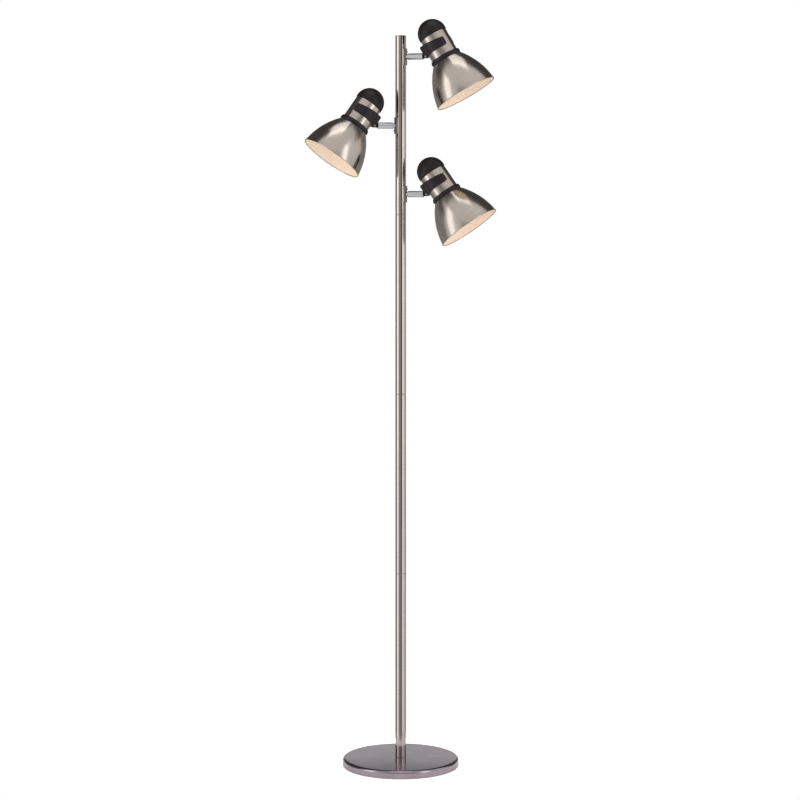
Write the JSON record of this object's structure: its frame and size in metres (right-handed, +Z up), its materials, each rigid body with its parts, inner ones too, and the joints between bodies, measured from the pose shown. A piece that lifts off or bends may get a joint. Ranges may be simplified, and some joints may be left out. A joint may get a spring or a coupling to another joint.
{
  "type": "tree floor lamp",
  "caption": "Floor lamp with a round weighted base, a sectional steel pole and adjustable bell-shaped heads on short swivelling arms.",
  "frame": {"origin": "centre of the underside of the base, on the floor", "axes": "+Z up the pole, +X to the right and -Y towards the viewer, seen from the front"},
  "size_m": [0.4227, 0.2652, 1.6803],
  "materials": {
    "polished_steel": "polished",
    "brushed_head": "fine circular brushing",
    "brushed_base": "satin",
    "plain_steel": "zinc plated",
    "cast_iron": "as cast, painted",
    "felt": "felt",
    "rubber": "matt",
    "black_plastic": "satin",
    "holder_plastic": "moulded",
    "brass": "bright",
    "bulb_cap": "satin",
    "opal_glass": "opal"
  },
  "bodies": {
    "stand": {"base_cover": "brushed_base", "base_weight": "cast_iron", "base_pad": "felt", "base_stud": "plain_steel", "base_nut": "plain_steel", "cord_grommet": "rubber", "pole_bottom": "polished_steel", "pole_lower": "polished_steel", "pole_upper": "polished_steel", "pole_top": "polished_steel", "pole_bushes": "plain_steel", "pole_nipples": "plain_steel", "pole_cap": "polished_steel", "saddle_screws": "plain_steel", "top_saddle_plate": "polished_steel", "middle_saddle_plate": "polished_steel", "low_saddle_plate": "polished_steel"},
    "top_swivel_arm": {"top_arm": "polished_steel", "top_arm_nut": "plain_steel", "top_knuckle": "black_plastic"},
    "top_lamp_head": {"top_pivot_screw": "plain_steel", "top_bracket": "black_plastic", "top_housing": "brushed_head", "top_collar": "black_plastic", "top_shade": "brushed_head", "top_shade_nut": "holder_plastic", "top_lampholder": "holder_plastic", "top_socket_contacts": "brass", "top_bulb_base": "bulb_cap", "top_bulb_glass": "opal_glass"},
    "top_knob": {"top_switch_dome": "black_plastic"},
    "middle_swivel_arm": {"middle_arm": "polished_steel", "middle_arm_nut": "plain_steel", "middle_knuckle": "black_plastic"},
    "middle_lamp_head": {"middle_pivot_screw": "plain_steel", "middle_bracket": "black_plastic", "middle_housing": "brushed_head", "middle_collar": "black_plastic", "middle_shade": "brushed_head", "middle_shade_nut": "holder_plastic", "middle_lampholder": "holder_plastic", "middle_socket_contacts": "brass", "middle_bulb_base": "bulb_cap", "middle_bulb_glass": "opal_glass"},
    "middle_knob": {"middle_switch_dome": "black_plastic"},
    "low_swivel_arm": {"low_arm": "polished_steel", "low_arm_nut": "plain_steel", "low_knuckle": "black_plastic"},
    "low_lamp_head": {"low_pivot_screw": "plain_steel", "low_bracket": "black_plastic", "low_housing": "brushed_head", "low_collar": "black_plastic", "low_shade": "brushed_head", "low_shade_nut": "holder_plastic", "low_lampholder": "holder_plastic", "low_socket_contacts": "brass", "low_bulb_base": "bulb_cap", "low_bulb_glass": "opal_glass"},
    "low_knob": {"low_switch_dome": "black_plastic"}
  },
  "joints": [
    {"name": "top_arm_swivel", "type": "hinge", "parent": "stand", "child": "top_swivel_arm", "pos_m": [0.01574, -0.00668, 1.5995], "axis": [0.9205, -0.3907, 0], "range_deg": [-170.5, 159.5]},
    {"name": "top_head_tilt", "type": "hinge", "parent": "top_swivel_arm", "child": "top_lamp_head", "pos_m": [0.0579, -0.02458, 1.5995], "axis": [-0.3889, -0.9163, -0.0958], "range_deg": [-34.6, 10.4]},
    {"name": "top_switch_turn", "type": "hinge", "parent": "top_lamp_head", "child": "top_knob", "pos_m": [0.07172, -0.03511, 1.64416], "axis": [-0.4872, 0.1163, 0.8655], "range_deg": [0, 90]},
    {"name": "middle_arm_swivel", "type": "hinge", "parent": "stand", "child": "middle_swivel_arm", "pos_m": [-0.01626, -0.00528, 1.448], "axis": [-0.9511, -0.309, 0], "range_deg": [-166, 164]},
    {"name": "middle_head_tilt", "type": "hinge", "parent": "middle_swivel_arm", "child": "middle_lamp_head", "pos_m": [-0.05982, -0.01944, 1.448], "axis": [-0.309, 0.9509, -0.0175], "range_deg": [-40.9, 4.1]},
    {"name": "middle_switch_turn", "type": "hinge", "parent": "middle_lamp_head", "child": "middle_knob", "pos_m": [-0.0713, -0.02232, 1.49444], "axis": [0.5533, 0.1946, 0.8099], "range_deg": [0, 90]},
    {"name": "low_arm_swivel", "type": "hinge", "parent": "stand", "child": "low_swivel_arm", "pos_m": [0.01612, -0.00571, 1.2965], "axis": [0.9426, -0.3338, 0], "range_deg": [-167, 163]},
    {"name": "low_head_tilt", "type": "hinge", "parent": "low_swivel_arm", "child": "low_lamp_head", "pos_m": [0.05929, -0.021, 1.2965], "axis": [-0.3336, -0.9421, -0.0349], "range_deg": [-40.2, 4.8]},
    {"name": "low_switch_turn", "type": "hinge", "parent": "low_lamp_head", "child": "low_knob", "pos_m": [0.07042, -0.02665, 1.34277], "axis": [-0.5529, 0.1655, 0.8166], "range_deg": [0, 90]}
  ]
}
